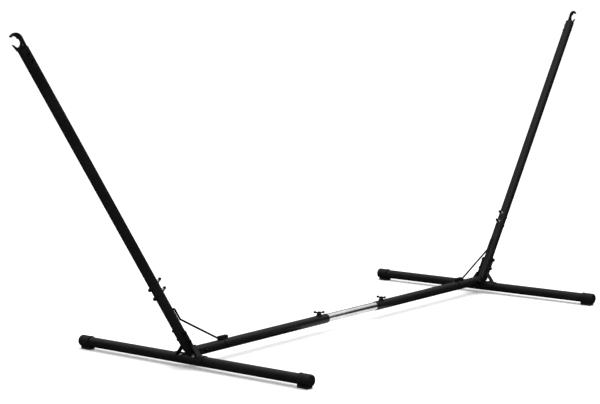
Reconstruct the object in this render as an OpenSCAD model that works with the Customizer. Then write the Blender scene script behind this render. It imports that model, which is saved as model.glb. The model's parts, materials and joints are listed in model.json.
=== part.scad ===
// Hammock stand: two cross feet, a telescopic centre beam and two leaning arms that end in hooks.
// Millimetres. X runs along the beam, Y along the feet, Z up. The origin is on the floor, mid-stand.

/* [Tubes] */
// Outside diameter of the black frame tubes
tube_d = 40; // [38:0.5:42]
// Wall thickness of the black frame tubes
tube_wall = 1.8; // [1.5:0.1:2.2]
// Gap all round between tubes that slide or plug into each other
tube_gap = 0.3; // [0.2:0.05:0.4]

/* [Feet] */
// Distance between the two foot tubes, axis to axis
foot_spacing = 1970; // [1900:2:2060]
// Length of one foot over its end caps
foot_length = 1192; // [1000:2:1300]
// Height of the foot tube axis above the floor
foot_axis_z = 30.5; // [30:0.5:36]

/* [End caps] */
// Length of an end cap along the foot
cap_length = 56; // [48:1:70]
// Wall of the end cap round the tube
cap_wall = 3; // [2.5:0.5:3.5]
// Width of the pad under an end cap
pad_width = 30; // [24:1:34]

/* [Beam] */
// Height of the beam axis above the foot axis
beam_rise = 27.5; // [26.5:0.5:30]
// Distance between the facing ends of the two beam tubes
beam_opening = 332; // [332:2:340]
// Length of the bright inner tube
inner_length = 700; // [680:2:760]
// Distance from a beam tube's end to its clamp screw
clamp_inset = 46; // [38:1:60]

/* [Arms] */
// Lean of an arm away from the vertical, in degrees
arm_lean = 33.7; // [33:0.1:36]
// Length along the arm from the beam axis to the top of the tube
arm_top = 1408; // [1300:2:1440]
// Length along the arm at which the upper tube starts
arm_seam = 272; // [260:1:276]

/* [Hooks] */
// Thickness of the hook plate
hook_plate_t = 6; // [4:0.5:8]
// Radius of the hook's pocket
pocket_r = 14.8; // [13:0.2:15]

/* [Wing knobs] */
// Angle of the left knob's wings in plan, in degrees
left_knob_angle = -51; // [-180:1:180]
// Angle of the right knob's wings in plan, in degrees
right_knob_angle = -85; // [-180:1:180]

/* [Hidden] */
$fn = 48;

eps = 0.01;
tube_r = tube_d / 2;
bore_r = tube_r - tube_wall;
foot_x = foot_spacing / 2;
beam_z = foot_axis_z + beam_rise;

black_steel = [0.11, 0.11, 0.12];
black_plastic = [0.07, 0.07, 0.07];
bright_steel = [0.72, 0.73, 0.75];
zinc = [0.62, 0.63, 0.66];

// M8 fasteners
m8_r = 4;
nut_hole_r = 4.02;
m8_hole_r = 4.25;
washer_r = 8;
washer_t = 1.6;
nut_af_r = 7.5;
nut_h = 6.5;
m8_head_r = 7.5;
m8_head_h = 5.5;

// End cap
cap_r = tube_r + cap_wall;
cap_floor = 6;
cap_lip = 1;
cap_lip_w = 4;
cap_edge_r = 6;
pad_start = 9;
pad_end = 60;
cap_grip = 0.05;
groove_w = 5;
groove_h = 1.5;

// Base bracket
plate_t = 3;
cheek_in = 24;
cheek_out = cheek_in + plate_t;
cheek_half = 8;
cheek_top_s = 107;
cheek_low_s = 12;
saddle_gap = 0.1;
saddle_r = tube_r + saddle_gap + plate_t;
saddle_half = 76;
strut_top_z = 90;
strut_low = 18;
strut_end = 10;
strut_out_y = 58;
strut_x = foot_x - 4;
strut_w = 24;
foot_bolt_y = 32;
foot_bolt_tilt = 45;
foot_head_r = 6;
foot_nut_low = 8;
foot_nut_gap = 0.02;
spigot_clear = 4.5;

// Beam
beam_end_x = foot_x - sqrt(pow(saddle_r, 2) - pow(beam_rise - tube_r, 2)) - spigot_clear;
beam_start_x = beam_opening / 2;
beam_bolt_x = beam_end_x - 36;
inner_r = bore_r - tube_gap;
inner_wall = 1.6;
clamp_x = beam_start_x + clamp_inset;

// Clamp screw and wing knob, heights counted from the top of the beam tube
boss_r = 11.5;
boss_h = 4;
stud_clear = 0.05;
hub_low = 4.6;
hub_h = 10.5;
hub_r = 7.2;
hub_cap = 2.5;
stud_tip_gap = 0.3;
wing_t = 8;
wing_pad_r = 5;
wing_pad_in = 13;
wing_pad_out = 18.5;
wing_pad_z = 13;

// Arm, lengths counted along the arm from the beam axis
arm_x = foot_x - 3.8;
arm_bottom_s = 6;
swage_top_s = 372;
swage_gap = 0.1;
seam_gap = 0.5;
base_bolt_s = [60, 104];
joint_bolt_s = [295, 339];
base_bolt_tail = 2.5;
joint_bolt_tail = 37;
joint_head_h = 12;
spacer_r = 7;
thread_cap_r = 6.4;
thread_cap_depth = 6;

// Hook, in arm coordinates: first value across the arm, second along it from the tube top
bow_r = 34;
bow_c = [13, 34.5];
pocket_c = [9.5, 30];
throat_r = 17.5;
throat_c = [18, 43];
tip_r = 4.1;
tip_c = [19, 64.5];
eye_r = 3;
eye_c = [-8, 10.5];
tongue_half = 16.4;
tongue_len = 62;
shoulder_half = 19;
spur_tip = [30.6, 38];
hook_bolt_s = [-46, -18];
hook_bolt_r = 3;
hook_bolt_gap = 0.15;
hook_bolt_head_r = 5.2;
hook_bolt_head_h = 3.2;
plug_t = 4;
plug_skirt = 12;
plug_wall = 1.8;

// Brace rod
rod_r = 4;
rod_clear = 0.1;
rod_rise = 3;
brace_n = -30;
brace_low_s = 142;
brace_high_s = 200;
brace_bend_r = 9;
bend_lap = 0.5;
bend_swell = 0.06;
brace_foot_x = 828;
brace_end_x = 782;
clip_x = 792;
clip_half = 13;
clip_t = 2;
tongue_far_x = 824;
tongue_w = 16;
tongue_h = 14;
clip_screw_r = 2.5;
clip_head_r = 5;
clip_head_h = 3;

// Mirrors its children to the left for side -1 and leaves them on the right for side 1.
module on_side(side) {
  mirror([side < 0 ? 1 : 0, 0, 0]) children();
}

// Turns its children half round to the left for side -1, so that bolts enter from the other side.
module turned_to(side) {
  rotate([0, 0, side < 0 ? 180 : 0]) children();
}

// Arm frame on the right: local Z runs up the arm, local X points outwards across it.
module in_arm() {
  translate([arm_x, 0, beam_z]) rotate([0, arm_lean, 0]) children();
}

// Cylinder along Y, centred on the origin.
module along_y(r, length) {
  rotate([90, 0, 0]) cylinder(r = r, h = length, center = true);
}

// Cylinder along X from the origin.
module along_x(r, length) {
  rotate([0, 90, 0]) cylinder(r = r, h = length);
}

// Open tube along Z.
module pipe(r_out, r_in, length) {
  difference() {
    cylinder(r = r_out, h = length);
    translate([0, 0, -1]) cylinder(r = r_in, h = length + 2);
  }
}

// Washer and hexagon nut on +Z, seated on z = 0 with a hole of its own.
module washer_and_nut(hole_r, out_r, washer, nut_r, height) {
  difference() {
    union() {
      cylinder(r = out_r, h = washer);
      translate([0, 0, washer]) cylinder(r = nut_r, h = height, $fn = 6);
    }
    translate([0, 0, -1]) cylinder(r = hole_r, h = washer + height + 2);
  }
}

// Low round bolt head on +Z with a shank that runs down to -length.
module round_bolt(shank_r, head_r, head_h, length) {
  translate([0, 0, -length]) cylinder(r = shank_r, h = length);
  intersection() {
    cylinder(r = head_r, h = head_h);
    translate([0, 0, head_h - 1.6 * head_r]) sphere(r = 1.6 * head_r);
  }
}

/* Feet */

module foot_tube(side) {
  half = foot_length / 2 - cap_floor;
  color(black_steel) on_side(side) translate([foot_x, 0, foot_axis_z]) difference() {
    rotate([90, 0, 0]) translate([0, 0, -half]) pipe(tube_r, bore_r, 2 * half);
    for (y = [-foot_bolt_y, foot_bolt_y]) {
      translate([0, y, 0]) rotate([0, 90 - foot_bolt_tilt, 0]) cylinder(r = m8_hole_r, h = 2 * tube_r);
    }
  }
}

// Cap profile, turned about the tube axis: closed rounded end, grip lip at the open rim.
module cap_profile() {
  difference() {
    union() {
      translate([0, cap_edge_r]) square([cap_r, cap_length - cap_edge_r]);
      square([cap_r - cap_edge_r, cap_length]);
      translate([cap_r - cap_edge_r, cap_edge_r]) circle(r = cap_edge_r);
      translate([0, cap_length - cap_lip_w]) square([cap_r + cap_lip, cap_lip_w]);
    }
    translate([-2 * cap_r, -1]) square([2 * cap_r, cap_length + 2]);
  }
}

// Cap at the +Y end for end 1 and at the -Y end for end -1, with its grooved pad underneath.
module end_cap(side, end) {
  pad_top = foot_axis_z - tube_r / 2;
  pad_length = pad_end - pad_start;
  color(black_plastic) on_side(side) mirror([0, end < 0 ? 1 : 0, 0])
  translate([foot_x, foot_length / 2, 0]) {
    difference() {
      union() {
        translate([0, 0, foot_axis_z]) rotate([90, 0, 0]) rotate_extrude() cap_profile();
        translate([-pad_width / 2, -pad_end, 0]) cube([pad_width, pad_length, pad_top]);
      }
      translate([0, -cap_floor, foot_axis_z]) rotate([90, 0, 0]) {
        cylinder(r = tube_r + cap_grip, h = 2 * cap_length);
      }
      for (k = [1:3]) {
        translate([-pad_width, -pad_start - k * pad_length / 4 - groove_w / 2, -1])
          cube([2 * pad_width, groove_w, groove_h + 1]);
      }
    }
  }
}

/* Base bracket */

// Cheek outline in the arm frame: first value across the arm, second along it.
module cheek_strip() {
  difference() {
    union() {
      translate([-cheek_half, cheek_low_s]) square([2 * cheek_half, cheek_top_s - cheek_low_s]);
      translate([0, cheek_top_s]) circle(r = cheek_half);
    }
    for (s = base_bolt_s) {
      translate([0, s]) circle(r = m8_hole_r);
    }
  }
}

// Lower part of the cheek: from the arm strip to the saddle and along the beam end. X and Z.
module cheek_knee() {
  low_n = cheek_half * cos(arm_lean);
  low_z = cheek_half * sin(arm_lean);
  base_x = arm_x + cheek_low_s * sin(arm_lean);
  base_z = beam_z + cheek_low_s * cos(arm_lean);
  fork_half = 12;
  difference() {
    union() {
      polygon([
        [base_x + low_n, base_z - low_z],
        [base_x - low_n, base_z + low_z],
        [beam_end_x - 2, beam_z + fork_half],
        [beam_end_x - 2, beam_z - fork_half],
        [foot_x - 18, foot_axis_z + 12],
        [foot_x, foot_axis_z + saddle_r + 2]
      ]);
      translate([beam_bolt_x, beam_z - fork_half]) square([beam_end_x - beam_bolt_x - 1, 2 * fork_half]);
      translate([beam_bolt_x, beam_z]) circle(r = fork_half);
    }
    translate([beam_bolt_x, beam_z]) circle(r = m8_hole_r);
  }
}

module cheek(y_side) {
  translate([0, y_side * (cheek_in + plate_t / 2), 0]) {
    in_arm() rotate([90, 0, 0]) linear_extrude(plate_t, center = true) cheek_strip();
    rotate([90, 0, 0]) linear_extrude(plate_t, center = true) cheek_knee();
  }
}

// Strut from the outside of a cheek down to the end of the saddle, outlined in Y and Z.
module strut(y_side) {
  drop = strut_top_z - foot_axis_z - strut_low;
  run = strut_out_y - cheek_out;
  slant_y = plate_t * norm([drop, run]) / drop;
  slant_z = plate_t * norm([drop, run]) / run;
  mirror([0, y_side < 0 ? 1 : 0, 0]) translate([strut_x, 0, 0])
  rotate([90, 0, 90]) linear_extrude(strut_w) polygon([
    [cheek_out - eps, strut_top_z],
    [cheek_out - eps, strut_top_z - slant_z],
    [strut_out_y - slant_y, foot_axis_z + strut_low],
    [strut_out_y - slant_y, foot_axis_z + strut_end],
    [strut_out_y, foot_axis_z + strut_end],
    [strut_out_y, foot_axis_z + strut_low]
  ]);
}

module base_bracket(side) {
  color(black_steel) on_side(side) difference() {
    union() {
      translate([foot_x, 0, foot_axis_z]) intersection() {
        along_y(saddle_r, 2 * saddle_half);
        translate([-saddle_r, -saddle_half, 0]) cube([2 * saddle_r, 2 * saddle_half, saddle_r]);
      }
      for (y_side = [-1, 1]) {
        cheek(y_side);
        strut(y_side);
      }
    }
    translate([foot_x, 0, foot_axis_z]) along_y(tube_r + saddle_gap, foot_length);
    for (y = [-foot_bolt_y, foot_bolt_y]) {
      translate([foot_x, y, foot_axis_z]) rotate([0, 90 - foot_bolt_tilt, 0]) {
        cylinder(r = m8_hole_r, h = 2 * tube_r);
      }
    }
  }
}

// Bolts through the saddle and the foot tube, heads on the outer upper side.
module foot_bolts(side) {
  color(zinc) on_side(side) for (y = [-foot_bolt_y, foot_bolt_y]) {
    translate([foot_x, y, foot_axis_z]) rotate([0, 90 - foot_bolt_tilt, 0]) {
      translate([0, 0, saddle_r]) {
        round_bolt(m8_r, foot_head_r, m8_head_h, saddle_r - bore_r + foot_nut_low + 2);
      }
    }
  }
}

// Nuts that sit against the inside of the foot tube, with a top that follows the tube wall.
module foot_nuts(side) {
  color(zinc) on_side(side) for (y = [-foot_bolt_y, foot_bolt_y]) {
    translate([foot_x, y, foot_axis_z]) difference() {
      intersection() {
        along_y(bore_r - foot_nut_gap, 2 * tube_r);
        rotate([0, 90 - foot_bolt_tilt, 0]) translate([0, 0, bore_r - foot_nut_low])
          cylinder(r = nut_af_r, h = foot_nut_low, $fn = 6);
      }
      rotate([0, 90 - foot_bolt_tilt, 0]) cylinder(r = nut_hole_r, h = 2 * tube_r);
    }
  }
}

/* Beam */

module beam_tube(side) {
  length = beam_end_x - beam_start_x;
  color(black_steel) on_side(side) difference() {
    translate([beam_start_x, 0, beam_z]) rotate([0, 90, 0]) pipe(tube_r, bore_r, length);
    translate([clamp_x, 0, beam_z]) cylinder(r = m8_hole_r, h = 2 * tube_r);
    translate([beam_bolt_x, 0, beam_z]) along_y(m8_hole_r, 3 * tube_r);
    translate([clip_x, 0, beam_z]) along_y(clip_screw_r, 3 * tube_r);
  }
}

module inner_tube() {
  color(bright_steel) translate([-inner_length / 2, 0, beam_z]) rotate([0, 90, 0])
    pipe(inner_r, inner_r - inner_wall, inner_length);
}

// Bolt through the fork and the end of the beam tube, with its nut and washer.
module beam_bolt(side) {
  color(zinc) turned_to(side) translate([beam_bolt_x, 0, beam_z]) {
    rotate([-90, 0, 0]) translate([0, 0, cheek_out]) {
      round_bolt(m8_r, m8_head_r, m8_head_h, 2 * cheek_out + washer_t + nut_h + base_bolt_tail);
    }
    rotate([90, 0, 0]) translate([0, 0, cheek_out]) {
      washer_and_nut(nut_hole_r, washer_r, washer_t, nut_af_r, nut_h);
    }
  }
}

// Threaded boss welded to the top of a beam tube.
module clamp_boss(side) {
  color(black_steel) on_side(side) translate([clamp_x, 0, beam_z]) difference() {
    union() {
      cylinder(r = boss_r, h = tube_r + boss_h - 1);
      cylinder(r = boss_r - 1, h = tube_r + boss_h);
    }
    translate([-2 * boss_r, 0, 0]) along_x(tube_r, 4 * boss_r);
    cylinder(r = m8_r + stud_clear, h = 2 * tube_r);
  }
}

module clamp_stud(side) {
  low = inner_r + stud_tip_gap;
  color(zinc) on_side(side) translate([clamp_x, 0, beam_z + low]) {
    translate([0, 0, 1]) cylinder(r = m8_r, h = tube_r + hub_low + hub_h - low - 1 - hub_cap);
    cylinder(r1 = m8_r - 1, r2 = m8_r, h = 1);
  }
}

// One wing: an arm that climbs from the hub to a rounded finger pad. Drawn in the X-Z plane.
module wing() {
  rotate([90, 0, 0]) linear_extrude(wing_t, center = true) {
    translate([wing_pad_in, wing_pad_z]) circle(r = wing_pad_r);
    translate([wing_pad_out, wing_pad_z]) circle(r = wing_pad_r);
    translate([wing_pad_in, wing_pad_z - wing_pad_r]) square([wing_pad_out - wing_pad_in, 2 * wing_pad_r]);
    polygon([
      [hub_r - 1.5, hub_low + hub_h - 8],
      [hub_r - 1.5, hub_low + hub_h - 1],
      [wing_pad_in - 2, wing_pad_z + 2.6],
      [wing_pad_in + 1, wing_pad_z - wing_pad_r]
    ]);
  }
}

module wing_knob(side, angle) {
  bore_h = hub_h - hub_cap + stud_clear;
  color(black_plastic) translate([side * clamp_x, 0, beam_z + tube_r]) rotate([0, 0, angle]) difference() {
    union() {
      translate([0, 0, hub_low]) cylinder(r = hub_r, h = hub_h);
      translate([0, 0, hub_low]) cylinder(r = hub_r + 2, h = 2);
      wing();
      rotate([0, 0, 180]) wing();
    }
    translate([0, 0, hub_low - eps]) cylinder(r = m8_r + stud_clear, h = bore_h + eps);
  }
}

/* Arms */

// Lower tube: plain at the base bolts, swaged at its top to plug into the upper tube.
module lower_arm(side) {
  shoulder_s = arm_seam - seam_gap;
  plug_r = bore_r - swage_gap;
  color(black_steel) on_side(side) in_arm() difference() {
    union() {
      translate([0, 0, arm_bottom_s]) cylinder(r = tube_r, h = shoulder_s - 1 - arm_bottom_s);
      translate([0, 0, shoulder_s - 1]) cylinder(r1 = tube_r, r2 = tube_r - 1, h = 1);
      translate([0, 0, shoulder_s - 1]) cylinder(r = plug_r, h = swage_top_s - shoulder_s + 1);
    }
    cylinder(r = plug_r - tube_wall, h = swage_top_s + 1);
    for (s = base_bolt_s) {
      translate([0, 0, s]) along_y(m8_hole_r, 3 * tube_r);
    }
    for (s = joint_bolt_s) {
      translate([-1.5 * tube_r, 0, s]) along_x(m8_hole_r, 3 * tube_r);
    }
    translate([brace_n, 0, brace_high_s]) along_x(rod_r + rod_clear, -brace_n);
  }
}

module upper_arm(side) {
  color(black_steel) on_side(side) in_arm() difference() {
    translate([0, 0, arm_seam]) pipe(tube_r, bore_r, arm_top - arm_seam);
    for (s = joint_bolt_s) {
      translate([-1.5 * tube_r, 0, s]) along_x(m8_hole_r, 3 * tube_r);
    }
    for (s = hook_bolt_s) {
      translate([0, 0, arm_top + s]) along_y(hook_bolt_r + hook_bolt_gap, 3 * tube_r);
    }
  }
}

// Two bolts through the fork and the foot of the arm.
module arm_base_bolts(side) {
  length = 2 * cheek_out + washer_t + nut_h + base_bolt_tail;
  color(zinc) turned_to(side) in_arm() for (s = base_bolt_s) {
    translate([0, cheek_out, s]) rotate([-90, 0, 0]) round_bolt(m8_r, m8_head_r, m8_head_h, length);
  }
}

module arm_base_nuts(side) {
  color(zinc) turned_to(side) in_arm() for (s = base_bolt_s) {
    translate([0, -cheek_out, s]) rotate([90, 0, 0]) {
      washer_and_nut(nut_hole_r, washer_r, washer_t, nut_af_r, nut_h);
    }
  }
}

// Sleeves that fill the gap between a round tube and the cheeks, one pair per bolt.
module spacer_pair() {
  difference() {
    along_y(spacer_r, 2 * cheek_in);
    along_y(m8_hole_r, 3 * cheek_in);
  }
}

module spacers(side) {
  color(zinc) on_side(side) {
    in_arm() difference() {
      for (s = base_bolt_s) {
        translate([0, 0, s]) spacer_pair();
      }
      cylinder(r = tube_r, h = arm_seam);
    }
    difference() {
      translate([beam_bolt_x, 0, beam_z]) spacer_pair();
      translate([beam_start_x, 0, beam_z]) along_x(tube_r, foot_x);
    }
  }
}

// Two bolts through the plugged joint of the arm, heads outwards.
module arm_joint_bolts(side) {
  color(zinc) on_side(side) in_arm() for (s = joint_bolt_s) {
    translate([tube_r, 0, s]) rotate([0, 90, 0]) {
      round_bolt(m8_r, m8_head_r, joint_head_h, tube_r + joint_bolt_tail);
    }
  }
}

module arm_joint_nuts(side) {
  color(zinc) on_side(side) in_arm() for (s = joint_bolt_s) {
    translate([-tube_r, 0, s]) rotate([0, -90, 0]) {
      washer_and_nut(nut_hole_r, washer_r, washer_t, nut_af_r, nut_h);
    }
  }
}

// Domed caps over the free thread on the inner side.
module thread_caps(side) {
  color(black_plastic) on_side(side) in_arm() for (s = joint_bolt_s) {
    translate([-joint_bolt_tail, 0, s]) rotate([0, -90, 0]) difference() {
      union() {
        translate([0, 0, -thread_cap_depth]) cylinder(r = thread_cap_r, h = thread_cap_depth);
        sphere(r = thread_cap_r);
      }
      translate([0, 0, -2 * thread_cap_depth]) cylinder(r = nut_hole_r, h = 2 * thread_cap_depth + eps);
    }
  }
}

/* Hook */

// Hook outline: a bow over a round pocket that opens outwards, with a spur that keeps a ring in.
module hook_outline() {
  far = 60;
  difference() {
    union() {
      intersection() {
        translate(bow_c) circle(r = bow_r);
        polygon([
          [-far, 6], [shoulder_half + 6, 6], spur_tip,
          [tip_c[0], spur_tip[1]], [tip_c[0], far + 20], [-far, far + 20]
        ]);
      }
      polygon([
        [-shoulder_half, 0], [shoulder_half, 0], [shoulder_half + 6, 9],
        [shoulder_half + 6, 14], [-bow_r + bow_c[0], 32]
      ]);
      translate(tip_c) circle(r = tip_r);
    }
    translate(pocket_c) circle(r = pocket_r);
    translate(throat_c) circle(r = throat_r);
    translate(eye_c) circle(r = eye_r);
  }
  polygon([[17.5, 16.5], [shoulder_half + 6, 10], spur_tip, [28.4, 37.5], [24.4, 30], [21, 22.5]]);
}

module hook(side) {
  color(black_steel) on_side(side) in_arm() translate([0, 0, arm_top]) rotate([90, 0, 0]) {
    linear_extrude(hook_plate_t, center = true) difference() {
      union() {
        hook_outline();
        translate([-tongue_half, -tongue_len]) square([2 * tongue_half, tongue_len + eps]);
      }
      for (s = hook_bolt_s) {
        translate([0, s]) circle(r = hook_bolt_r + hook_bolt_gap);
      }
    }
  }
}

// Plastic insert that closes the tube round the hook's tongue.
module hook_plug(side) {
  color(black_plastic) on_side(side) in_arm() translate([0, 0, arm_top - plug_skirt]) difference() {
    cylinder(r = bore_r - swage_gap, h = plug_skirt);
    translate([0, 0, -1]) cylinder(r = bore_r - swage_gap - plug_wall, h = plug_skirt - plug_t + 1);
    translate([-tube_r, -hook_plate_t / 2 - swage_gap, -1]) {
      cube([tube_d, hook_plate_t + 2 * swage_gap, plug_skirt + 2]);
    }
  }
}

module hook_bolts(side) {
  color(zinc) turned_to(side) in_arm() for (s = hook_bolt_s) {
    translate([0, -tube_r, arm_top + s]) rotate([90, 0, 0])
      round_bolt(hook_bolt_r, hook_bolt_head_r, hook_bolt_head_h, tube_d + hook_bolt_head_h);
    translate([0, tube_r, arm_top + s]) rotate([-90, 0, 0])
      washer_and_nut(hook_bolt_r + 0.02, hook_bolt_head_r, 1, hook_bolt_head_r, hook_bolt_head_h);
  }
}

/* Brace */

// Heading of the step from a to b, and how much the path turns from one heading to the next.
function heading(a, b) = atan2(b[1] - a[1], b[0] - a[0]);
function turn(from, to) = (to - from + 540) % 360 - 180;
function ahead(angle, distance) = distance * [cos(angle), sin(angle)];

// Round rod along points in a plane, with every inner point rounded to the bend radius.
module bent_rod(points, r, bend_r) {
  last = len(points) - 1;
  turns = [for (i = [0:last]) i == 0 || i == last ? 0 :
    turn(heading(points[i - 1], points[i]), heading(points[i], points[i + 1]))];
  trims = [for (t = turns) bend_r * tan(abs(t) / 2)];
  for (i = [0:last - 1]) {
    angle = heading(points[i], points[i + 1]);
    laps = [i > 0 ? bend_lap : 0, i < last - 1 ? bend_lap : 0];
    length = norm(points[i + 1] - points[i]) - trims[i] - trims[i + 1] + laps[0] + laps[1];
    translate(points[i] + ahead(angle, trims[i] - laps[0])) rotate([0, 0, angle]) along_x(r, length);
  }
  for (i = [1:last - 1]) {
    angle = heading(points[i - 1], points[i]);
    way = sign(turns[i]);
    centre = points[i] - ahead(angle, trims[i]) + ahead(angle + 90 * way, bend_r);
    first = way > 0 ? angle - 90 : angle + 90 + turns[i];
    translate(centre) rotate([0, 0, first]) rotate_extrude(angle = abs(turns[i]))
      translate([bend_r, 0]) circle(r = r + bend_swell);
  }
}

// Point of the arm frame given in the stand's X and Z.
function arm_point(n, s) = [
  arm_x + n * cos(arm_lean) + s * sin(arm_lean),
  beam_z - n * sin(arm_lean) + s * cos(arm_lean)
];

// Rod from a hole in the lower arm, along the arm, and down to the clip on the beam.
module brace(side) {
  rest_z = beam_z + tube_r + rod_r + rod_rise;
  color(black_steel) on_side(side) rotate([90, 0, 0]) bent_rod([
    arm_point(-bore_r - 0.5, brace_high_s),
    arm_point(brace_n, brace_high_s),
    arm_point(brace_n, brace_low_s),
    [brace_foot_x, rest_z],
    [brace_end_x, rest_z]
  ], rod_r, brace_bend_r);
}

// Band over the beam tube with a tongue that holds the end of the brace rod.
module brace_clip(side) {
  rest_z = tube_r + rod_r + rod_rise;
  band_low = -6;
  color(black_steel) on_side(side) translate([0, 0, beam_z]) difference() {
    union() {
      intersection() {
        translate([clip_x - clip_half, 0, 0]) along_x(tube_r + clip_t, 2 * clip_half);
        translate([clip_x - clip_half, -tube_d, band_low]) cube([2 * clip_half, 2 * tube_d, 2 * tube_d]);
      }
      translate([clip_x - clip_half, -tongue_w / 2, tube_r / 2])
        cube([tongue_far_x - clip_x + clip_half, tongue_w, tube_r / 2 + tongue_h]);
    }
    translate([clip_x - 2 * clip_half, 0, 0]) along_x(tube_r, tongue_far_x);
    translate([brace_end_x - 2, 0, rest_z]) along_x(rod_r + rod_clear, tongue_far_x);
    translate([clip_x, 0, 0]) along_y(clip_screw_r + 0.02, 3 * tube_d);
  }
}

module clip_screws(side) {
  color(zinc) on_side(side) for (turn_z = [0, 180]) {
    translate([clip_x, 0, beam_z]) rotate([0, 0, turn_z]) rotate([90, 0, 0])
    translate([0, 0, tube_r + clip_t])
      round_bolt(clip_screw_r - 0.02, clip_head_r, clip_head_h, clip_t + tube_wall + 3);
  }
}

foot_tube(-1);  // left_foot_tube
foot_tube(1);  // right_foot_tube
end_cap(-1, -1);  // left_front_cap
end_cap(-1, 1);  // left_rear_cap
end_cap(1, -1);  // right_front_cap
end_cap(1, 1);  // right_rear_cap
base_bracket(-1);  // left_base_bracket
base_bracket(1);  // right_base_bracket
foot_bolts(-1);  // left_foot_bolts
foot_bolts(1);  // right_foot_bolts
foot_nuts(-1);  // left_foot_nuts
foot_nuts(1);  // right_foot_nuts
beam_tube(-1);  // left_beam_tube
beam_tube(1);  // right_beam_tube
inner_tube();
beam_bolt(-1);  // left_beam_bolt
beam_bolt(1);  // right_beam_bolt
clamp_boss(-1);  // left_clamp_boss
clamp_boss(1);  // right_clamp_boss
clamp_stud(-1);  // left_clamp_stud
clamp_stud(1);  // right_clamp_stud
wing_knob(-1, left_knob_angle);  // left_wing_knob
wing_knob(1, right_knob_angle);  // right_wing_knob
lower_arm(-1);  // left_lower_arm
lower_arm(1);  // right_lower_arm
upper_arm(-1);  // left_upper_arm
upper_arm(1);  // right_upper_arm
arm_base_bolts(-1);  // left_arm_base_bolts
arm_base_bolts(1);  // right_arm_base_bolts
arm_base_nuts(-1);  // left_arm_base_nuts
arm_base_nuts(1);  // right_arm_base_nuts
spacers(-1);  // left_spacers
spacers(1);  // right_spacers
arm_joint_bolts(-1);  // left_arm_joint_bolts
arm_joint_bolts(1);  // right_arm_joint_bolts
arm_joint_nuts(-1);  // left_arm_joint_nuts
arm_joint_nuts(1);  // right_arm_joint_nuts
thread_caps(-1);  // left_thread_caps
thread_caps(1);  // right_thread_caps
hook(-1);  // left_hook
hook(1);  // right_hook
hook_plug(-1);  // left_hook_plug
hook_plug(1);  // right_hook_plug
hook_bolts(-1);  // left_hook_bolts
hook_bolts(1);  // right_hook_bolts
brace(-1);  // left_brace
brace(1);  // right_brace
brace_clip(-1);  // left_brace_clip
brace_clip(1);  // right_brace_clip
clip_screws(-1);  // left_clip_screws
clip_screws(1);  // right_clip_screws
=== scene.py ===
"""Looks of a steel hammock stand: coated tubes, bright inner tube, moulded caps and knobs, bolts and welds.

Everything is in metres, in the stand's own frame: X along the beam, Y along the feet, Z up.
"""
import json
import math

import bmesh
import bpy
import numpy as np
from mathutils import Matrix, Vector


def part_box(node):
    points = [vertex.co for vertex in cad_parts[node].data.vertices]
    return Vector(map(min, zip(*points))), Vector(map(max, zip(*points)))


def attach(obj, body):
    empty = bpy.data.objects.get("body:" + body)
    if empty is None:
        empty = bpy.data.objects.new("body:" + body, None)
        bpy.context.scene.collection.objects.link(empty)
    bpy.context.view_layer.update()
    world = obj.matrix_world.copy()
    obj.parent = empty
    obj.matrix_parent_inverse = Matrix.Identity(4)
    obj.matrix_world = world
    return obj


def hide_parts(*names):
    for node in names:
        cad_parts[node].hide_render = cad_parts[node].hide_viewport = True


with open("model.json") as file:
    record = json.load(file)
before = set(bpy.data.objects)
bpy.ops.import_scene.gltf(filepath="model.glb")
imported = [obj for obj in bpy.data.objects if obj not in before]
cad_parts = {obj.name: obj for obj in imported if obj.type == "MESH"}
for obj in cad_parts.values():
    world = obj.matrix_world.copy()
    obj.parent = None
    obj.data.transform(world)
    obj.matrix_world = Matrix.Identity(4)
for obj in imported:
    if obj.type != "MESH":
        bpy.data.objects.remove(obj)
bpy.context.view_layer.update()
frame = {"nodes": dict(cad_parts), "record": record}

MM = 0.001
SIDES = {"left": -1, "right": 1}


def corners(node):
    """Lowest and highest corner of a node's box, in millimetres."""
    return [np.array(corner) * 1000 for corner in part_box(node)]


def middle(node):
    """Middle of a node's box, in millimetres."""
    return sum(corners(node)) / 2


# Sizes in millimetres. Places are read from the nodes' own boxes where a box gives them.
PLATE_T = 3.0
SADDLE_GAP = 0.1
CLIP_T = 2.0
FOOT_X, _, FOOT_Z = middle("right_foot_tube")
BEAM_Z = middle("inner_tube")[2]
TUBE_R = corners("right_foot_tube")[1][0] - FOOT_X
FOOT_HALF = corners("right_rear_cap")[1][1]
CLAMP_X = middle("right_clamp_boss")[0]
BEAM_BOLT_X = middle("right_beam_bolt")[0]
CLIP_X = middle("right_clip_screws")[0]
CHEEK_IN = corners("right_spacers")[1][1]
CHEEK_OUT = CHEEK_IN + PLATE_T
SADDLE_R = TUBE_R + PLATE_T + SADDLE_GAP
CLIP_R = TUBE_R + CLIP_T

# The arm starts at ARM_X on the beam's axis and leans outwards. Its bolts sit at distances along it.
ARM_X = FOOT_X - 3.8
ARM_LEAN = math.radians(33.7)
ARM_TOP = 1408.0
BASE_BOLT_S = (60.0, 104.0)
JOINT_BOLT_S = (295.0, 339.0)
HOOK_BOLT_S = (ARM_TOP - 46.0, ARM_TOP - 18.0)
FOOT_BOLT_Y = 32.0
FOOT_BOLT_TILT = math.radians(45.0)
KNOB_TURN = {"left": -51.0, "right": -85.0}


# ---------------------------------------------------------------- surfaces

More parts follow.
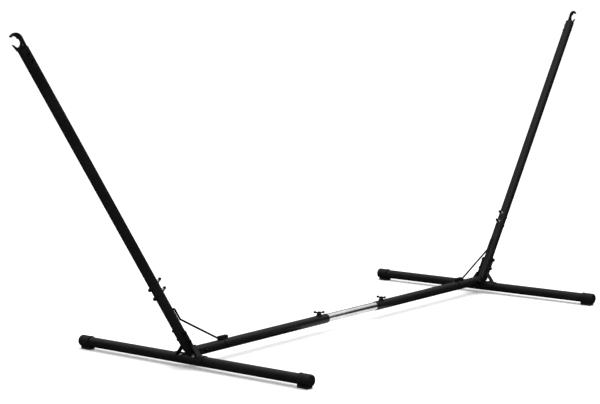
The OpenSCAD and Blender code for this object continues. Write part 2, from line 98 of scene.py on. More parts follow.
def skin(rings, start=True, end=True, loop=False):
    """Surface through rings of points, an array of (ring, point, xyz). Neighbouring rings are joined by
    quads, each ring closes on itself, and the first and last are closed to their middles unless the
    rings loop."""
    rings = np.asarray(rings, float)
    count, around = rings.shape[:2]
    points = rings.reshape(-1, 3)
    row = np.arange(count if loop else count - 1)[:, None] * around
    col = np.arange(around)[None, :]
    nxt = (col + 1) % around
    above = (row + around) % (count * around)
    quads = np.stack([row + col, row + nxt, above + nxt, above + col], axis=-1).reshape(-1, 4)
    faces = quads.tolist()
    ring = np.arange(around)
    for wanted, index, flip in ((start, 0, True), (end, count - 1, False)):
        if wanted and not loop:
            centre = len(points)
            points = np.vstack([points, rings[index].mean(axis=0)])
            a, b = index * around + ring, index * around + (ring + 1) % around
            fan = np.stack([b, a] if flip else [a, b], axis=-1)
            faces += np.column_stack([fan, np.full(around, centre)]).tolist()
    return points, faces


def joined(*shapes):
    """Several (points, faces) shapes as one."""
    points, faces, offset = [], [], 0
    for p, f in shapes:
        points.append(p)
        faces += [[i + offset for i in face] for face in f]
        offset += len(p)
    return np.vstack(points), faces


def placed(shape, centre, axis, twist=0.0):
    """A shape drawn along +Z, turned so that +Z points along axis, and moved to centre."""
    points, faces = shape
    z = np.asarray(axis, float)
    z = z / np.linalg.norm(z)
    side = np.array([0.0, 1.0, 0.0]) if abs(z[1]) < 0.9 else np.array([1.0, 0.0, 0.0])
    x = np.cross(side, z)
    x /= np.linalg.norm(x)
    y = np.cross(z, x)
    c, s = math.cos(twist), math.sin(twist)
    basis = np.stack([c * x + s * y, -s * x + c * y, z])
    return points @ basis + np.asarray(centre, float), faces


def around_axis(count):
    """Equal angles once round."""
    return np.linspace(0, 2 * math.pi, count, endpoint=False)


def circle(radius, angle, height):
    """Points round Z at a height. The radius is one number, or one for each angle."""
    return np.stack([radius * np.cos(angle), radius * np.sin(angle), height + 0 * angle], axis=-1)


def hexagon(angle, half_width):
    """Distance from the middle to a hexagon's side at an angle: the half width over the cosine of the angle
    from the middle of the nearest side."""
    off = (angle + math.pi / 6) % (math.pi / 3) - math.pi / 6
    return half_width / np.cos(off)


def turned(profile, count=48):
    """Solid of revolution about Z: each (radius, height) of the profile becomes one ring."""
    angle = around_axis(count)
    profile = np.asarray(profile, float)
    r, z = profile[:, 0, None], profile[:, 1, None]
    return skin(circle(r, angle, z))


def rounded(profile, radius, steps=5):
    """A profile of (radius, height) corners with each inner corner cut to a quadratic curve, which starts at
    the radius from the corner, or at 0.45 of a shorter side."""
    profile = np.asarray(profile, float)
    curve = [profile[:1]]
    t = np.linspace(0, 1, steps)[:, None]
    for before, here, after in zip(profile[:-2], profile[1:-1], profile[2:]):
        lengths = [np.linalg.norm(end - here) for end in (before, after)]
        reach = [min(radius, length * 0.45) / length for length in lengths]
        a, b = here + (before - here) * reach[0], here + (after - here) * reach[1]
        curve.append((1 - t) ** 2 * a + 2 * t * (1 - t) * here + t ** 2 * b)
    curve.append(profile[-1:])
    return np.vstack(curve)


def thread(radius, low, high, pitch=1.25, depth=0.6, count=32):
    """Screw thread: the radius drops by a triangle wave of height over pitch less angle over a turn, and
    both ends run out to a plain cone."""
    rows = max(8, int((high - low) / pitch * 8))
    z = np.linspace(low, high, rows)[:, None]
    angle = around_axis(count)[None, :]
    wave = np.abs(((z / pitch - angle / (2 * math.pi)) % 1.0) * 2 - 1)
    lead = np.clip(np.minimum(z - low, high - z) / pitch, 0, 1)
    r = radius - depth * (1 - lead) - depth * lead * wave
    return skin(circle(r, angle, z))


def socket_head(radius, height, key):
    """Domed bolt head on z = 0 with a hexagon socket: rings climb the dome, then shrink to the hexagon,
    then drop to the socket's floor. Each ring is its size, its height and its share of the hexagon."""
    angle = around_axis(48)
    climb = np.linspace(0, 1, 9)
    dome_r = radius * (1 - (1 - 1.35 * key / radius) * climb ** 1.9)
    dome_z = height * (0.28 + 0.72 * np.sin(climb * math.pi / 2))
    rings = [(radius * 0.94, 0, 0), (radius, height * 0.08, 0)]
    rings += [(r, z, 0) for r, z in zip(dome_r, dome_z)]
    rings += [(key * 1.16, height * 0.985, 0.6), (key, height * 0.93, 1)]
    rings += [(key, height * 0.45, 1), (key * 0.2, height * 0.4, 1)]
    made = []
    for r, z, six in rings:
        made.append(circle((1 - six) * r + six * hexagon(angle, r), angle, z))
    return skin(made)


def nut(half_width, low, height, bore):
    """Hexagon nut with both faces chamfered: the radius is the smaller of the hexagon and a cone that closes
    in towards each face. The bore is a shallow countersink."""
    angle = around_axis(72)
    hexed = hexagon(angle, half_width)
    corner = half_width / math.cos(math.pi / 6)
    levels = np.array([0, 0.06, 0.16, 0.5, 0.84, 0.94, 1.0]) * height
    cone = corner - np.array([1.1, 0.55, 0.0, 0.0, 0.0, 0.55, 1.1]) * (corner - half_width) * 1.15
    made = [circle(half_width * 0.7, angle, low)]
    made += [circle(np.minimum(hexed, limit), angle, low + z) for z, limit in zip(levels, cone)]
    made += [circle(r, angle, low + z) for r, z in ((bore + 0.7, height), (bore, height - 0.6))]
    return skin(made)


def washer(radius, thickness):
    """Flat washer with rounded edges."""
    inner = radius * 0.5
    return turned(rounded([(inner, 0), (radius, 0), (radius, thickness), (inner, thickness)], 0.4), 48)


PLAIN_SHARE = 0.55


def headed_shank(radius, head_r, head_h, key, low):
    """Socket head on z = 0 with the plain part of its shank below it."""
    start = low * PLAIN_SHARE
    shank = turned([(radius * 0.98, start), (radius, start + 0.6), (radius, 0.2)], 32)
    return joined(socket_head(head_r, head_h, key), shank)


def threaded_end(radius, low):
    """The threaded rest of a bolt's shank, down to low. Pitch and depth follow the radius."""
    return thread(radius, low, low * PLAIN_SHARE + 0.5, 1.25 * radius / 4, 0.15 * radius)


def bolt(radius, head_r, head_h, key, low):
    """Whole bolt with its head on z = 0."""
    return joined(headed_shank(radius, head_r, head_h, key, low), threaded_end(radius, low))


def arm_point(n, s, y=0.0):
    """Point of the right arm's frame: n outwards across the arm, s up along it from the beam's axis."""
    return np.array([
        ARM_X + n * math.cos(ARM_LEAN) + s * math.sin(ARM_LEAN), y,
        BEAM_Z - n * math.sin(ARM_LEAN) + s * math.cos(ARM_LEAN)])


def mirrored(shape, side):
    """The right half's shape on the named side: the left one is its mirror image, with its faces turned
    back outwards."""
    points, faces = shape
    if SIDES[side] > 0:
        return points, faces
    return points * [-1, 1, 1], [face[::-1] for face in faces]


def half_turned(shape, side):
    """The right half's shape on the named side: the left one is turned half round about Z."""
    points, faces = shape
    return (points, faces) if SIDES[side] > 0 else (points * [-1, -1, 1], faces)


# ---------------------------------------------------------------- moulded and welded shapes

def cap_shell():
    """End cap round the foot's axis, without its pad: a turned profile with a domed end, a shallow neck, a
    lip at the open rim and the bore that grips the tube. Heights are distances from the closed end."""
    bore, outer = TUBE_R + 0.05, TUBE_R + 3.0
    end = [(0.2, 0.0), (outer - 6.0, 0.0), (outer - 1.7, 1.7), (outer, 6.5)]
    lip = [(outer, 49.6), (outer + 0.15, 50.8), (outer + 1.0, 52.2), (outer + 1.0, 55.2), (outer + 0.2, 56.0)]
    inside = [(bore + 0.9, 56.0), (bore, 55.0), (bore, 7.0), (bore - 2.0, 6.1), (0.2, 6.1)]
    points, faces = turned(rounded(end + lip + inside, 2.6, 6), 96)
    return points[:, [0, 2, 1]] * [1, -1, 1], faces


def cap_pad():
    """Pad under the cap. Each section, across the foot, is a block with rounded lower corners and a cradle
    for the cap on top: the circle of the cradle's radius about the foot's axis. The sections rise over
    three grooves and draw in by a quarter circle at both ends."""
    start, stop, half, edge, corner = 9.0, 60.0, 15.0, 3.0, 2.5
    cradle = TUBE_R + 0.6
    bend = edge * (1 - np.cos(np.linspace(0, 1.57, 8)))
    at = np.unique(np.concatenate([np.linspace(start, stop, 90), start + bend, stop - bend]))
    inside = np.clip(np.minimum(at - start, stop - at) / edge, 0, 1)
    drawn = edge * (1 - np.sqrt(1 - (1 - inside) ** 2))
    groove = sum(np.exp(-((at - start - k * (stop - start) / 4) / 2.3) ** 6) for k in (1, 2, 3))
    fillet = np.linspace(0, math.pi / 2, 6)
    rings = []
    for y, inset, cut in zip(at, drawn, groove):
        wide, low = half - inset, max(1.5 * cut, inset)
        right_x = wide - corner + corner * np.sin(fillet)
        right_z = low + corner - corner * np.cos(fillet)
        over = np.linspace(wide, -wide, 25)
        top = FOOT_Z - np.sqrt(cradle ** 2 - over ** 2)
        under = np.linspace(-wide + corner, wide - corner, 13)[1:-1]
        x = np.concatenate([right_x, over, -right_x[::-1], under])
        z = np.concatenate([right_z, top, right_z[::-1], np.full_like(under, low)])
        rings.append(np.stack([x, np.full_like(x, -y), z - FOOT_Z], axis=-1))
    return skin(rings)


def cap_body(end):
    """Cap and pad at the rear end of the right foot, or at its front end for end -1."""
    points, faces = joined(cap_shell(), cap_pad())
    points = points + [FOOT_X, FOOT_HALF, FOOT_Z]
    return (points, faces) if end > 0 else (points * [1, -1, 1], [face[::-1] for face in faces])


def knob_wing(turn):
    """One wing: rounded-square sections carried along a line that leaves the hub, climbs, and levels out in
    the finger pad. The half height and half thickness follow the distance along it, and close in at its
    tip. A section is a superellipse of power 2.7."""
    t = np.linspace(0, 1, 44)
    out = 3.5 + 20.0 * t
    climb = 9.6 + 3.4 / (1 + np.exp(-(t - 0.34) * 15))
    tip = np.sqrt(np.clip(1 - np.clip((t - 0.78) / 0.22, 0, 1) ** 2, 0.0, 1))
    tall = (4.95 - 1.9 * np.exp(-((t - 0.36) / 0.13) ** 2)) * np.maximum(tip, 0.05)
    thick = (3.0 + 1.0 * np.clip((t - 0.3) / 0.3, 0, 1)) * np.maximum(tip, 0.05)
    angle = around_axis(28)
    square = 2 / 2.7
    c, s = np.cos(angle), np.sin(angle)
    wide = np.sign(c) * np.abs(c) ** square
    high = np.sign(s) * np.abs(s) ** square
    out, thick, climb, tall = out[:, None], thick[:, None], climb[:, None], tall[:, None]
    points, faces = skin(np.stack([out + 0 * wide, thick * wide, climb + tall * high], axis=-1))
    spin = np.array([[math.cos(turn), math.sin(turn), 0], [-math.sin(turn), math.cos(turn), 0], [0, 0, 1]])
    return points @ spin, faces


def knob_hub():
    """Hub with a flared foot, a waist, a rounded shoulder and a dished top, turned about Z."""
    foot = [(4.1, 4.6), (9.1, 4.6), (9.1, 6.4), (7.2, 7.6)]
    top = [(6.9, 11.0), (7.2, 15.1), (5.0, 15.1), (3.2, 14.3), (0.4, 14.1)]
    return turned(rounded(foot + top, 0.9), 56)


def bead(path, radius, closed=False, seed=1):
    """Weld bead: circles carried along a path, with a radius that ripples every couple of millimetres and
    wanders slowly. Path is an array of points in millimetres. The circles lie square to the path, turned
    by a direction that no bead runs along."""
    path = np.asarray(path, float)
    ahead = np.roll(path, -1, axis=0) - path
    if not closed:
        ahead[-1] = ahead[-2]
    steps = np.linalg.norm(ahead, axis=1, keepdims=True)
    along = ahead / np.maximum(steps, 1e-9)
    back = np.roll(along, 1, axis=0)
    if not closed:
        back[0] = along[0]
    along = along + back
    along /= np.linalg.norm(along, axis=1, keepdims=True)
    first = np.cross(along, (0.13, 0.21, 0.97))
    first /= np.linalg.norm(first, axis=1, keepdims=True)
    second = np.cross(along, first)
    run = np.concatenate([[0], np.cumsum(steps[:-1, 0])])
    chance = np.random.default_rng(seed)
    shift = chance.uniform(0, 6, 3)
    size = radius * (1 + 0.10 * np.abs(np.sin(run * math.pi / 2.1)) + 0.08 * np.sin(run / 5.3 + shift[0]))
    if not closed:
        left = np.minimum(run, run[-1] - run)
        size = size * np.sqrt(np.clip(left / (1.4 * radius), 0.03, 1))
    angle = around_axis(14)
    c, s = np.cos(angle)[None, :, None], np.sin(angle)[None, :, None]
    return skin(path[:, None] + size[:, None, None] * (c * first[:, None] + s * second[:, None]), loop=closed)


def line(a, b, step=0.5):
    """Points from a to b about step apart."""
    a, b = np.asarray(a, float), np.asarray(b, float)
    count = max(3, int(np.linalg.norm(b - a) / step))
    return a + (b - a) * np.linspace(0, 1, count)[:, None]


# ---------------------------------------------------------------- materials

class Wire:
    """A socket that carries a number. Arithmetic on it adds Math nodes."""

    def __init__(self, tree, socket):
        self.tree, self.socket = tree, socket

    def math(self, operation, *values):
        """A Math node with these numbers or wires on its sockets."""
        node = self.tree.nodes.new("ShaderNodeMath")
        node.operation = operation
        for entry, value in zip(node.inputs, values):
            if isinstance(value, Wire):
                self.tree.links.new(value.socket, entry)
            else:
                entry.default_value = value
        return Wire(self.tree, node.outputs[0])

    def __add__(self, other):
        return self.math("ADD", self, other)

    def __radd__(self, other):
        return self.math("ADD", other, self)

    def __mul__(self, other):
        return self.math("MULTIPLY", self, other)

    def __rmul__(self, other):
        return self.math("MULTIPLY", other, self)

    def clipped(self, low, high):
        """The number held between two limits."""
        return self.math("MINIMUM", self.math("MAXIMUM", self, low), high)


class Finish:
    """One material: a Principled shader and the nodes that feed it."""

    def __init__(self, name, **fixed):
        self.material = bpy.data.materials.new(name)
        self.material.use_nodes = True
        self.tree = self.material.node_tree
        self.shader = next(n for n in self.tree.nodes if n.type == "BSDF_PRINCIPLED")
        for socket, value in fixed.items():
            self.shader.inputs[socket.replace("_", " ")].default_value = value
        self.place = self.node("ShaderNodeTexCoord", {}, {}, "Object")

    def node(self, kind, settings, values, output=0):
        """Adds a node, sets its settings first and then its sockets, and returns one of its outputs."""
        node = self.tree.nodes.new(kind)
        for name, value in settings.items():
            setattr(node, name, value)
        for name, value in values.items():
            entry = node.inputs[name]
            if isinstance(value, Wire):
                self.tree.links.new(value.socket, entry)
            else:
                entry.default_value = value
        return Wire(self.tree, node.outputs[output])

    def noise(self, scale, detail=2.0, rough=0.5, stretch=None):
        """Noise from about 0.3 to 0.7 with so many features a metre, drawn out where stretch is small."""
        place = self.place
        if stretch:
            place = self.node("ShaderNodeMapping", {}, {"Vector": place, "Scale": stretch})
        values = {"Vector": place, "Scale": scale, "Detail": detail, "Roughness": rough}
        return self.node("ShaderNodeTexNoise", {}, values)

    def spread(self, value, low, high):
        """Value from low to high stretched to 0 to 1 and clipped there."""
        return self.node("ShaderNodeMapRange", {}, {"Value": value, "From Min": low, "From Max": high})

    def mix(self, share, a, b):
        """Colour from a to b by share. The Mix node's colour sockets are its seventh and eighth inputs."""
        a, b = (value if isinstance(value, Wire) else (*value, 1.0) for value in (a, b))
        return self.node("ShaderNodeMix", {"data_type": "RGBA"}, {0: share, 6: a, 7: b}, 2)

    def feed(self, socket, value):
        """Links a wire to one of the shader's sockets."""
        self.tree.links.new(value.socket, self.shader.inputs[socket])

    def bump(self, height, distance, strength):
        """Raises the surface by height, up to a distance in metres, and returns the finished material."""
        values = {"Height": height, "Distance": distance, "Strength": strength}
        self.feed("Normal", self.node("ShaderNodeBump", {}, values))
        return self.material


def powder_coat():
    """Satin black powder coat: fine orange peel, slow changes of gloss, faint dust, rare rubbed specks."""
    f = Finish("satin_black_powder_coat", IOR=1.46, Specular_IOR_Level=0.16)
    slow = f.spread(f.noise(5.0, 3.0), 0.35, 0.65)
    peel = f.noise(820.0, 2.0, 0.55)
    grain = f.noise(2600.0, 1.0)
    dust = f.spread(f.noise(46.0, 6.0, 0.7), 0.52, 0.78)
    rubbed = f.spread(f.noise(310.0, 3.0, 0.6), 0.70, 0.76)
    tone = f.mix(slow, (0.0034, 0.0034, 0.0034), (0.0050, 0.0050, 0.0049))
    tone = f.mix(dust * 0.30, tone, (0.016, 0.0155, 0.0145))
    f.feed("Base Color", f.mix(rubbed * 0.4, tone, (0.034, 0.034, 0.035)))
    f.feed("Roughness", (0.34 + slow * 0.10 + dust * 0.12 + grain * 0.06).clipped(0.2, 0.9))
    return f.bump(peel + grain * 0.3, 0.00006, 0.55)


def moulded_plastic():
    """Matt black moulded plastic: fine spark-eroded grain, slow shade changes and dusty hollows."""
    f = Finish("moulded_black_plastic", IOR=1.49, Specular_IOR_Level=0.14)
    slow = f.spread(f.noise(18.0, 3.0), 0.35, 0.65)
    grain = f.noise(1900.0, 3.0, 0.6)
    scuff = f.spread(f.noise(120.0, 4.0, 0.65, (0.25, 1.0, 1.0)), 0.60, 0.74)
    tone = f.mix(slow, (0.0034, 0.0034, 0.0034), (0.0052, 0.0052, 0.0051))
    f.feed("Base Color", f.mix(scuff * 0.35, tone, (0.018, 0.0175, 0.0165)))
    f.feed("Roughness", (0.46 + slow * 0.08 + scuff * 0.16 + grain * 0.05).clipped(0.3, 0.95))
    return f.bump(grain, 0.00009, 0.6)


def bright_tube():
    """Bright zinc-coated tube: polishing lines drawn out along X, a soft cloudy haze and rare grey marks."""
    f = Finish("bright_galvanised_tube", Metallic=1.0)
    lines = f.noise(900.0, 3.0, 0.6, (0.012, 1.0, 1.0))
    fine = f.noise(3000.0, 2.0, 0.6, (0.02, 1.0, 1.0))
    haze = f.spread(f.noise(22.0, 4.0, 0.55, (0.5, 1.0, 1.0)), 0.35, 0.68)
    marks = f.spread(f.noise(90.0, 5.0, 0.65, (0.3, 1.0, 1.0)), 0.62, 0.74)
    tone = f.mix(haze, (0.50, 0.505, 0.515), (0.64, 0.645, 0.65))
    f.feed("Base Color", f.mix(marks * 0.5, tone, (0.42, 0.42, 0.43)))
    f.feed("Roughness", (0.15 + lines * 0.14 + haze * 0.07 + marks * 0.15).clipped(0.08, 0.7))
    return f.bump(lines + fine * 0.5, 0.00003, 0.5)


def plated(name, dark, light, rough):
    """Plated fastener steel: cloudy plating, fine scratches and duller spots."""
    f = Finish(name, Metallic=1.0)
    cloud = f.spread(f.noise(260.0, 3.0), 0.35, 0.65)
    scratch = f.noise(2400.0, 2.0, 0.6, (1.0, 0.08, 1.0))
    dull = f.spread(f.noise(700.0, 4.0, 0.65), 0.58, 0.75)
    f.feed("Base Color", f.mix(cloud, dark, light))
    f.feed("Roughness", (rough + cloud * 0.08 + dull * 0.2 + scratch * 0.08).clipped(0.1, 0.9))
    return f.bump(scratch + dull * 0.5, 0.00003, 0.5)


FINISHES = {
    "black_powder_coat": powder_coat(),
    "black_plastic": moulded_plastic(),
    "galvanised_tube": bright_tube(),
    "black_zinc": plated("black_zinc_plate", (0.014, 0.014, 0.015), (0.026, 0.026, 0.028), 0.32),
    "bright_zinc": plated("bright_zinc_plate", (0.36, 0.365, 0.38), (0.50, 0.505, 0.52), 0.28),
}


# ---------------------------------------------------------------- pieces

SLOTS = {s["node"]: s["material_slot"] for s in frame["record"]["subparts"]}
BODIES = {node: body for body, nodes in frame["record"]["behaviour"]["bodies"].items() for node in nodes}


def finish_mesh(mesh, name, body, slot, nodes, sharp=32.0):
    """Object from a mesh in metres: smooth but for edges sharper than the given angle, coated, and riding
    on its body. It stands for the given nodes."""
    mesh.polygons.foreach_set("use_smooth", np.ones(len(mesh.polygons), bool))
    mesh.set_sharp_from_angle(angle=math.radians(sharp))
    mesh.materials.append(FINISHES[slot])
    piece = bpy.data.objects.new(name, mesh)
    bpy.context.scene.collection.objects.link(piece)
    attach(piece, body)
    if nodes:
        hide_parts(*nodes)
    return piece


def piece_of(shape, name, node, standing_for=True, slot=None, sharp=32.0):
    """Object from a shape in millimetres, riding with the named node and standing for it if wanted."""
    points, faces = shape
    mesh = bpy.data.meshes.new(name)
    mesh.from_pydata((points * MM).tolist(), [], faces)
    mesh.validate()
    mesh.update()
    nodes = [node] if standing_for else []
    finish_mesh(mesh, name, BODIES[node], slot or SLOTS[node], nodes, sharp)


def softened(node, width):
    """The node's own shape with its edges broken: a merged copy whose flat faces are whole again, and a
    bevel of the given width in millimetres along every edge sharper than 35 degrees."""
    work = bmesh.new()
    work.from_mesh(frame["nodes"][node].data)
    bmesh.ops.remove_doubles(work, verts=work.verts, dist=2e-6)
    bmesh.ops.dissolve_limit(work, angle_limit=math.radians(0.5), verts=work.verts, edges=work.edges)
    mesh = bpy.data.meshes.new(node + "_soft")
    work.verts.index_update()
    mesh.from_pydata([v.co[:] for v in work.verts], [], [[v.index for v in f.verts] for f in work.faces])
    work.free()
    mesh.update()
    piece = finish_mesh(mesh, node + "_piece", BODIES[node], SLOTS[node], [node])
    bevel = piece.modifiers.new("broken edges", "BEVEL")
    bevel.width, bevel.segments = width * MM, 2
    bevel.limit_method, bevel.angle_limit = "ANGLE", math.radians(35)
    bevel.use_clamp_overlap = True
    even = piece.modifiers.new("even shading", "WEIGHTED_NORMAL")
    even.keep_sharp = False


SOFT_EDGES = {
    "foot_tube": 0.4, "beam_tube": 0.5, "lower_arm": 0.4, "upper_arm": 0.4, "base_bracket": 0.5,
    "clamp_boss": 0.4, "hook": 0.9, "hook_plug": 0.5, "brace": 0.4, "brace_clip": 0.8, "spacers": 0.3,
    "foot_nuts": 0.3,
}
for side in SIDES:
    for part, width in SOFT_EDGES.items():
        softened(f"{side}_{part}", width)
softened("inner_tube", 0.3)

# Directions of the right half's fasteners, and bolts by shank, head and half the width of the socket.
OUTWARD_BOLT = np.array([math.cos(FOOT_BOLT_TILT), 0, math.sin(FOOT_BOLT_TILT)])
ACROSS_ARM = np.array([math.cos(ARM_LEAN), 0, -math.sin(ARM_LEAN)])
REARWARD, FORWARD = np.array([0, 1, 0]), np.array([0, -1, 0])
M8_BOLT = dict(radius=4.0, head_r=7.5, head_h=5.5, key=2.6)
M8_SMALL_HEAD = dict(M8_BOLT, head_r=6.0)
M8_TALL_HEAD = dict(M8_BOLT, head_h=12.0)
M6_BOLT = dict(radius=3.0, head_r=5.2, head_h=3.2, key=1.9)
CLIP_SCREW = dict(radius=2.48, head_r=5.0, head_h=3.0, key=1.5, low=-6.8)
M8_NUT = joined(washer(8.0, 1.6), nut(half_width=6.5, low=1.6, height=6.5, bore=4.02))
M6_NUT = joined(washer(5.2, 1.0), nut(half_width=4.5, low=1.0, height=3.2, bore=3.02))

# Lengths of thread past the far cheek, past the foot tube's outer face and past the hook end's far side.
PAST_CHEEK = 10.6
PAST_FOOT_FACE = 11.8
PAST_HOOK_END = 3.2
# How far the joint bolts' ends and their domed caps stand from the arm's axis.
CAP_N = 37.0
CAP_R = 6.4


def at_holes(shape, holes, n, y, axis):
    """Copies of a shape along the arm, n across it and y to the rear, each turned by its own angle."""
    return joined(*[placed(shape, arm_point(n, s, y), axis, s) for s in holes])


def end_caps(side):
    """Black caps on both ends of the foot tube, with the pads that stand on the ground."""
    for end, name in ((-1, "front"), (1, "rear")):
        piece_of(mirrored(cap_body(end), side), f"{side}_{name}_end_cap", f"{side}_{name}_cap", sharp=50)


def foot_bolts(side):
    """Two slanting bolts through the saddle into the foot tube."""
    screw = bolt(low=-(SADDLE_R - TUBE_R + PAST_FOOT_FACE), **M8_SMALL_HEAD)
    heads = [np.array([FOOT_X, y, FOOT_Z]) + OUTWARD_BOLT * SADDLE_R for y in (-FOOT_BOLT_Y, FOOT_BOLT_Y)]
    bolts = joined(*[placed(screw, head, OUTWARD_BOLT, 0.3) for head in heads])
    piece_of(mirrored(bolts, side), f"{side}_foot_bolt_pair", f"{side}_foot_bolts")


def bracket_bolts(side):
    """Bolts through both cheeks of the bracket: one holds the beam tube's end, and two hold the arm."""
    screw = bolt(low=-(2 * CHEEK_OUT + PAST_CHEEK), **M8_BOLT)
    beam_bolt = joined(
        placed(screw, (BEAM_BOLT_X, CHEEK_OUT, BEAM_Z), REARWARD, 0.5),
        placed(M8_NUT, (BEAM_BOLT_X, -CHEEK_OUT, BEAM_Z), FORWARD, 0.3))
    piece_of(half_turned(beam_bolt, side), f"{side}_beam_bolt_set", f"{side}_beam_bolt")
    bolts = at_holes(screw, BASE_BOLT_S, 0, CHEEK_OUT, REARWARD)
    piece_of(half_turned(bolts, side), f"{side}_arm_base_bolt_pair", f"{side}_arm_base_bolts")
    nuts = at_holes(M8_NUT, BASE_BOLT_S, 0, -CHEEK_OUT, FORWARD)
    piece_of(half_turned(nuts, side), f"{side}_arm_base_nut_pair", f"{side}_arm_base_nuts")


def joint_bolts(side):
    """Two long bolts across the joint of the arm's tubes: dark heads, bright threads and nuts, domed caps."""
    low = -(TUBE_R + CAP_N)
    heads = at_holes(headed_shank(low=low, **M8_TALL_HEAD), JOINT_BOLT_S, TUBE_R, 0, ACROSS_ARM)
    threads = at_holes(threaded_end(M8_BOLT["radius"], low), JOINT_BOLT_S, TUBE_R, 0, ACROSS_ARM)
    node = f"{side}_arm_joint_bolts"
    piece_of(mirrored(heads, side), f"{side}_arm_joint_bolt_heads", node, slot="black_zinc")
    piece_of(mirrored(threads, side), f"{side}_arm_joint_bolt_threads", node, slot="bright_zinc")
    nuts = at_holes(M8_NUT, JOINT_BOLT_S, -TUBE_R, 0, -ACROSS_ARM)
    piece_of(mirrored(nuts, side), f"{side}_arm_joint_nut_pair", f"{side}_arm_joint_nuts")
    climb = np.linspace(0, math.pi / 2, 10)[:-1]
    foot = [(4.2, -6.0), (5.9, -6.0), (CAP_R, -5.5), (CAP_R, -4.6), (6.1, -4.2), (6.3, -0.5)]
    cap = turned(np.vstack([foot, np.stack([CAP_R * np.cos(climb), CAP_R * np.sin(climb)], axis=-1)]), 40)
    caps = joined(*[placed(cap, arm_point(-CAP_N, s), -ACROSS_ARM) for s in JOINT_BOLT_S])
    piece_of(mirrored(caps, side), f"{side}_thread_cover_pair", f"{side}_thread_caps")


def hook_bolts(side):
    """Two small bolts and nuts through the arm's top and the hook's tongue."""
    screw = bolt(low=-(2 * TUBE_R + PAST_HOOK_END), **M6_BOLT)
    bolts = at_holes(screw, HOOK_BOLT_S, 0, -TUBE_R, FORWARD)
    nuts = at_holes(M6_NUT, HOOK_BOLT_S, 0, TUBE_R, REARWARD)
    piece_of(half_turned(joined(bolts, nuts), side), f"{side}_hook_bolt_pair", f"{side}_hook_bolts")


def clip_screws(side):
    """Two screws that hold the brace clip to the beam tube."""
    screw = bolt(**CLIP_SCREW)
    screws = joined(*[placed(screw, (CLIP_X, y * CLIP_R, BEAM_Z), (0, y, 0), 0.4) for y in (-1, 1)])
    piece_of(mirrored(screws, side), f"{side}_clip_screw_pair", f"{side}_clip_screws")


def clamp(side):
    """Threaded stud on top of the beam tube, and the wing knob that turns it."""
    foot = np.array([CLAMP_X, 0, BEAM_Z + TUBE_R])
    stud = placed(thread(4.0, -1.8, 12.55), foot, (0, 0, 1))
    piece_of(mirrored(stud, side), f"{side}_clamp_screw", f"{side}_clamp_stud")
    turn = math.radians(KNOB_TURN[side])
    points, faces = joined(knob_hub(), knob_wing(turn), knob_wing(turn + math.pi))
    knob = points + foot * [SIDES[side], 1, 1], faces
    piece_of(knob, f"{side}_wing_knob_moulding", f"{side}_wing_knob", sharp=45)


def bracket_welds(side):
    """Beads where the cheeks and the two struts meet the saddle, and where the struts meet the cheeks."""
    arc = np.linspace(math.radians(142), math.radians(98), 60)
    arc_x = FOOT_X + (SADDLE_R + 0.3) * np.cos(arc)
    arc_z = FOOT_Z + (SADDLE_R + 0.3) * np.sin(arc)
    strut_start, strut_end, strut_top_z, strut_foot_y = FOOT_X - 4, FOOT_X + 20, 90, 58.4
    across = np.linspace(strut_start, strut_end, 46)
    rise = FOOT_Z + np.sqrt((SADDLE_R + 0.2) ** 2 - (across - FOOT_X) ** 2)
    seams = []
    for y in (-1, 1):
        for k, at in enumerate((CHEEK_IN - 0.6, CHEEK_OUT + 0.6)):
            seams.append(bead(np.stack([arc_x, np.full_like(arc, y * at), arc_z], axis=-1), 1.7, seed=3 + k))
        cheek_y = y * (CHEEK_OUT + 0.4)
        top = line((strut_start, cheek_y, strut_top_z), (strut_end, cheek_y, strut_top_z))
        seams.append(bead(top, 1.5, seed=7))
        low = np.stack([across, np.full_like(across, y * strut_foot_y), rise], axis=-1)
        seams.append(bead(low, 1.6, seed=9))
    piece_of(mirrored(joined(*seams), side), f"{side}_bracket_welds", f"{side}_base_bracket", False)


def boss_weld(side):
    """Bead round the clamp boss: a circle seen from above, laid over the beam tube's round top."""
    angle, radius = around_axis(150), 11.9
    x, y = radius * np.cos(angle), radius * np.sin(angle)
    ring = np.stack([CLAMP_X + x, y, BEAM_Z + np.sqrt(TUBE_R ** 2 - y ** 2)], axis=-1)
    piece_of(mirrored(bead(ring, 1.2, True, 5), side), f"{side}_boss_weld", f"{side}_clamp_boss", False)


for side in SIDES:
    end_caps(side)
    foot_bolts(side)
    bracket_bolts(side)
    joint_bolts(side)
    hook_bolts(side)
    clip_screws(side)
    clamp(side)
    bracket_welds(side)
    boss_weld(side)


# ---------------------------------------------------------------- studio

def stage_piece(name, points, faces, shade):
    """Sheet of plain matt grey paper."""
    mesh = bpy.data.meshes.new(name)
    mesh.from_pydata(points, [], faces)
    grey = (shade, shade, shade, 1.0)
    paper = Finish(name + "_paper", Base_Color=grey, Roughness=0.9, Specular_IOR_Level=0.0)
    mesh.materials.append(paper.material)
    sheet = bpy.data.objects.new(name, mesh)
    bpy.context.scene.collection.objects.link(sheet)
    return sheet


def dark_card(name, inner, outer, low, high):
    """Dark ring round the stand that only reflections meet: it gives round metal a dark line between its
    bright edges."""
    angle = around_axis(64)
    points, faces = skin([circle(inner, angle, low), circle(outer, angle, high)], False, False)
    card = stage_piece(name, points.tolist(), faces, 0.03)
    card.visible_camera = card.visible_diffuse = card.visible_shadow = card.visible_transmission = False


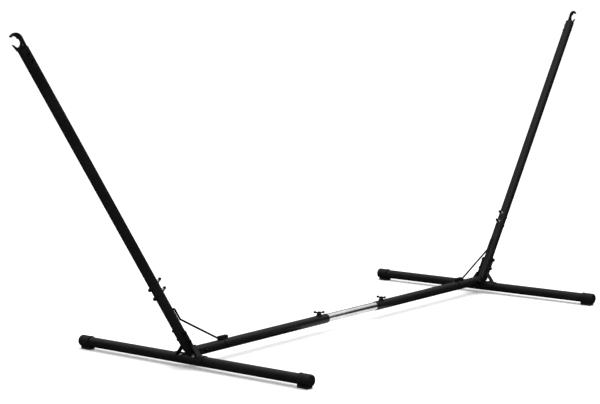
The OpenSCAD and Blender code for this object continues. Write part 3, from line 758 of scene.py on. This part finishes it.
FLOOR_HALF, FLOOR_Z = 900.0, -0.0004
floor_corners = [(x * FLOOR_HALF, y * FLOOR_HALF, FLOOR_Z) for x, y in ((-1, -1), (1, -1), (1, 1), (-1, 1))]
stage_piece("floor", floor_corners, [(0, 1, 2, 3)], 0.93)
dark_card("far_dark_card", 14.0, 14.0, 0.0, 7.5)
dark_card("low_dark_card", 0.30, 14.0, 0.006, 0.006)

world = bpy.data.worlds.new("soft_white_room")
bpy.context.scene.world = world
world.use_nodes = True
background = world.node_tree.nodes["Background"]
background.inputs["Color"].default_value = (1.0, 1.0, 1.0, 1.0)
background.inputs["Strength"].default_value = 1.22


def soft_panel(name, place, aim, size, power):
    """Large square light at a place, aimed at a point."""
    data = bpy.data.lights.new(name, "AREA")
    data.shape, data.size, data.energy = "SQUARE", size, power
    lamp = bpy.data.objects.new(name, data)
    bpy.context.scene.collection.objects.link(lamp)
    z = np.asarray(place, float) - np.asarray(aim, float)
    z /= np.linalg.norm(z)
    x = np.cross((0, 0, 1) if abs(z[2]) < 0.95 else (0, 1, 0), z)
    x /= np.linalg.norm(x)
    matrix = np.eye(4)
    matrix[:3, 0], matrix[:3, 1], matrix[:3, 2], matrix[:3, 3] = x, np.cross(z, x), z, place
    lamp.matrix_world = matrix.T.tolist()


soft_panel("overhead panel", (0.5, -1.5, 6.0), (0, 0, 0), 5.0, 170.0)

camera_data = bpy.data.cameras.new("camera")
camera_data.lens, camera_data.sensor_width = 102.75, 36.0
camera_data.clip_start, camera_data.clip_end = 0.1, 3000.0
camera = bpy.data.objects.new("camera", camera_data)
bpy.context.scene.collection.objects.link(camera)
place = (-5.5874, -4.3937, 1.4316)
yaw, pitch, roll = math.radians(39.861), math.radians(-7.243), -0.01311
ahead = np.array([math.cos(pitch) * math.cos(yaw), math.cos(pitch) * math.sin(yaw), math.sin(pitch)])
right = np.cross(ahead, (0, 0, 1))
right /= np.linalg.norm(right)
up = np.cross(right, ahead)
level, tilt = math.cos(roll), math.sin(roll)
matrix = np.eye(4)
matrix[:3, 0], matrix[:3, 1] = level * right + tilt * up, -tilt * right + level * up
matrix[:3, 2], matrix[:3, 3] = -ahead, place
camera.matrix_world = matrix.T.tolist()
bpy.context.scene.camera = camera
bpy.context.scene.view_settings.view_transform = "Standard"

bpy.context.view_layer.update()
